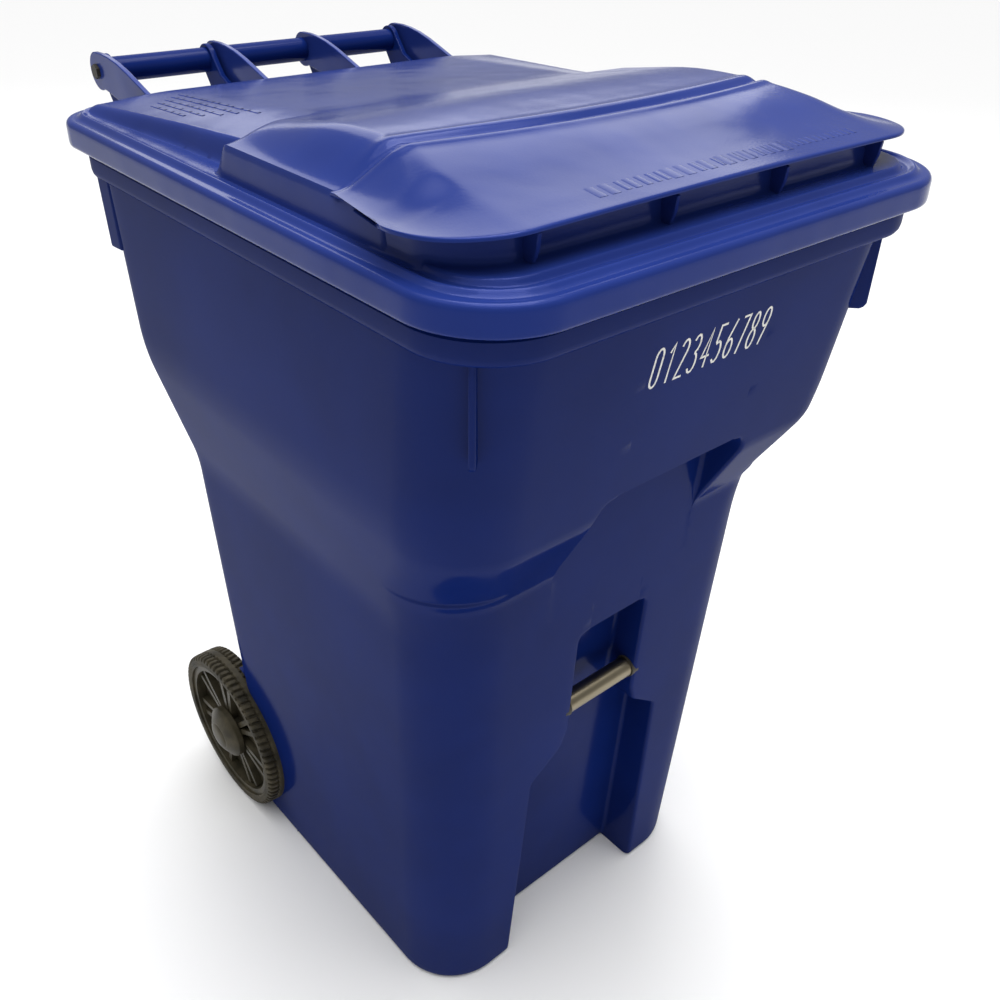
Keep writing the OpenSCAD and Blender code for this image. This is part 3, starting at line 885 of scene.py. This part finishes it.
for side_name, s in (("left", -1), ("right", 1)):
    lo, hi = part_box("tyre_" + side_name)
    centre = (lo.x + hi.x) / 2
    tyre = lathe_x(tyre_profile(), centre, TREAD * 10, tread, "tyre_" + side_name + "_tread", tyre_mat,
                   "wheel_" + side_name, "tyre", 34)
    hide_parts("tyre_" + side_name)
    verts, faces = [], []
    for k in range(TREAD * 2):
        # short raised ribs round the outer side wall
        ang = 2 * math.pi * (k + 0.5) / (TREAD * 2)
        half_a = math.pi / (TREAD * 2) * 0.42
        ring = []
        for r, h in ((113.6, 0.0), (114.2, 0.9), (119.6, 0.9), (120.4, 0.0)):
            for da in (-half_a, half_a):
                x = s * (21.1 + h)
                y, z = AXLE_Y + r * MM * math.cos(ang + da), AXLE_Z + r * MM * math.sin(ang + da)
                ring.append((centre + x * MM, y, z))
        b = len(verts)
        verts += ring
        faces += [(b, b + 1, b + 3, b + 2), (b + 2, b + 3, b + 5, b + 4), (b + 4, b + 5, b + 7, b + 6),
                  (b, b + 2, b + 4, b + 6), (b + 1, b + 7, b + 5, b + 3)]
    make_object("tyre_" + side_name + "_ribs", verts, faces, tyre_mat, "wheel_" + side_name, 20, "tyre")
    clo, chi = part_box("hub_cap_" + side_name)
    base_x = chi.x if s < 0 else clo.x
    far = (chi.x - clo.x) / MM - 0.2
    prof = [(-s * 9, 41.0), (-s * 1, 41.0), (s * 1.5, 39.5), (s * 5.5, 33.0), (s * (far - 4.0), 24.0),
            (s * (far - 3.6), 21.0), (s * (far - 1.6), 18.5), (s * (far - 0.5), 12.0), (s * far, 5.0), (s * far, 0.05)]
    cap = lathe_x(prof, base_x, 64, plain_turning, "hub_cap_" + side_name + "_dome", wheel_mat, "wheel_" + side_name,
                  "wheel_plastic", 30)
    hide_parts("hub_cap_" + side_name)

# the catch bar's end sleeves, as they show at the pocket's side walls
bar_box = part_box("catch_bar")
BAR_Y, BAR_Z = (bar_box[0].y + bar_box[1].y) / 2, (bar_box[0].z + bar_box[1].z) / 2
BAR_R = (bar_box[1].z - bar_box[0].z) / 2
for side_name, s in (("left", -1), ("right", 1)):
    rows = []
    for x, r in ((0.0515, 0.0001), (0.0515, 0.0012), (0.0523, 0.0018), (0.062, 0.0018), (0.062, 0.0001)):
        a = np.radians(np.linspace(0, 360, 48, endpoint=False))
        y, z = BAR_Y + (BAR_R + r) * np.cos(a), BAR_Z + (BAR_R + r) * np.sin(a)
        rows.append(np.column_stack([np.full(48, s * x), y, z]))
    v, f = loft(rows)
    if s < 0:
        f = [tuple(reversed(q)) for q in f]
    sleeve = make_object("sleeve_rim_" + side_name, v, f, black, "tub", 30, "black_plastic")
    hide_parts("bar_sleeve_" + side_name)

# ---------------------------------------------------------------- remaining CAD nodes

for name, mat, sl in (("handle_tube", blue_tub, "moulded_plastic"), ("catch_bar", zinc, "zinc_steel"),
                      ("axle", zinc, "zinc_steel"), ("hinge_pin_left", black, "black_plastic"),
                      ("hinge_pin_right", black, "black_plastic"), ("spacer_left", black, "black_plastic"),
                      ("spacer_right", black, "black_plastic"), ("washer_left", zinc, "zinc_steel"),
                      ("washer_right", zinc, "zinc_steel"), ("retainer_left", zinc, "zinc_steel"),
                      ("retainer_right", zinc, "zinc_steel"), ("wheel_left", wheel_mat, "wheel_plastic"),
                      ("wheel_right", wheel_mat, "wheel_plastic")):
    o = nodes[name]
    o.data.materials.clear()
    o.data.materials.append(mat)
    o.data.shade_smooth()
    o.data.set_sharp_from_angle(angle=math.radians(32))

# ---------------------------------------------------------------- stage

FLOOR_HALF, FLOOR_DROP = 30, 0.0005
WORLD_LIGHT = 0.36
CAMERA_PLACE = (-0.6829, -0.8567, 1.2762)
CAMERA_LENS, CAMERA_SHIFT = 36.23, (-0.0189, 0.0426)

floor_mat, _, _, f_bsdf = new_material("floor")
f_bsdf.inputs["Base Color"].default_value = (0.86, 0.86, 0.86, 1)
f_bsdf.inputs["Roughness"].default_value = 0.9
floor_mesh = bpy.data.meshes.new("floor")
floor_corners = [(i * FLOOR_HALF, j * FLOOR_HALF, -FLOOR_DROP) for i, j in ((-1, -1), (1, -1), (1, 1), (-1, 1))]
floor_mesh.from_pydata(floor_corners, [], [(0, 1, 2, 3)])
floor = bpy.data.objects.new("floor", floor_mesh)
floor_mesh.materials.append(floor_mat)
bpy.context.scene.collection.objects.link(floor)

world = bpy.data.worlds.new("studio")
bpy.context.scene.world = world
world.use_nodes = True
world.node_tree.nodes["Background"].inputs["Color"].default_value = (1, 1, 1, 1)
world.node_tree.nodes["Background"].inputs["Strength"].default_value = WORLD_LIGHT


def area_light(name, place, target, size, power, size_y=None):
    data = bpy.data.lights.new(name, "AREA")
    data.energy = power
    data.shape = "RECTANGLE" if size_y else "SQUARE"
    data.size = size
    if size_y:
        data.size_y = size_y
    o = bpy.data.objects.new(name, data)
    o.location = place
    o.rotation_euler = (Vector(target) - Vector(place)).to_track_quat("-Z", "Y").to_euler()
    bpy.context.scene.collection.objects.link(o)
    return o


area_light("overhead", (0.2, -0.1, 3.4), (0, 0, 0.9), 2.2, 62, 1.6)
sun_data = bpy.data.lights.new("sky_panel", "SUN")
sun_data.energy = 2.4
sun_data.angle = math.radians(80)
sun = bpy.data.objects.new("sky_panel", sun_data)
sun.location = (0, 0, 4)
bpy.context.scene.collection.objects.link(sun)
area_light("back_softbox", (2.3, 2.9, 3.1), (0, 0, 1.0), 3.6, 44, 2.4)

# camera at the photograph's viewing angle
AZ, EL, ROLL = math.radians(-42.9), math.radians(35.3), math.radians(2.1)
forward = Vector((-math.sin(AZ) * math.cos(EL), math.cos(AZ) * math.cos(EL), -math.sin(EL)))
right0 = forward.cross(Vector((0, 0, 1))).normalized()
up0 = right0.cross(forward)
right = right0 * math.cos(ROLL) + up0 * math.sin(ROLL)
up = up0 * math.cos(ROLL) - right0 * math.sin(ROLL)
cam_data = bpy.data.cameras.new("camera")
cam_data.sensor_width = 36
cam_data.lens = CAMERA_LENS
cam_data.shift_x, cam_data.shift_y = CAMERA_SHIFT
cam_data.clip_start = 0.05
cam = bpy.data.objects.new("camera", cam_data)
rot3 = Matrix((right, up, -forward)).transposed()
cam.matrix_world = Matrix.Translation(CAMERA_PLACE) @ rot3.to_4x4()
bpy.context.scene.collection.objects.link(cam)
bpy.context.scene.camera = cam
bpy.context.scene.view_settings.view_transform = "Standard"
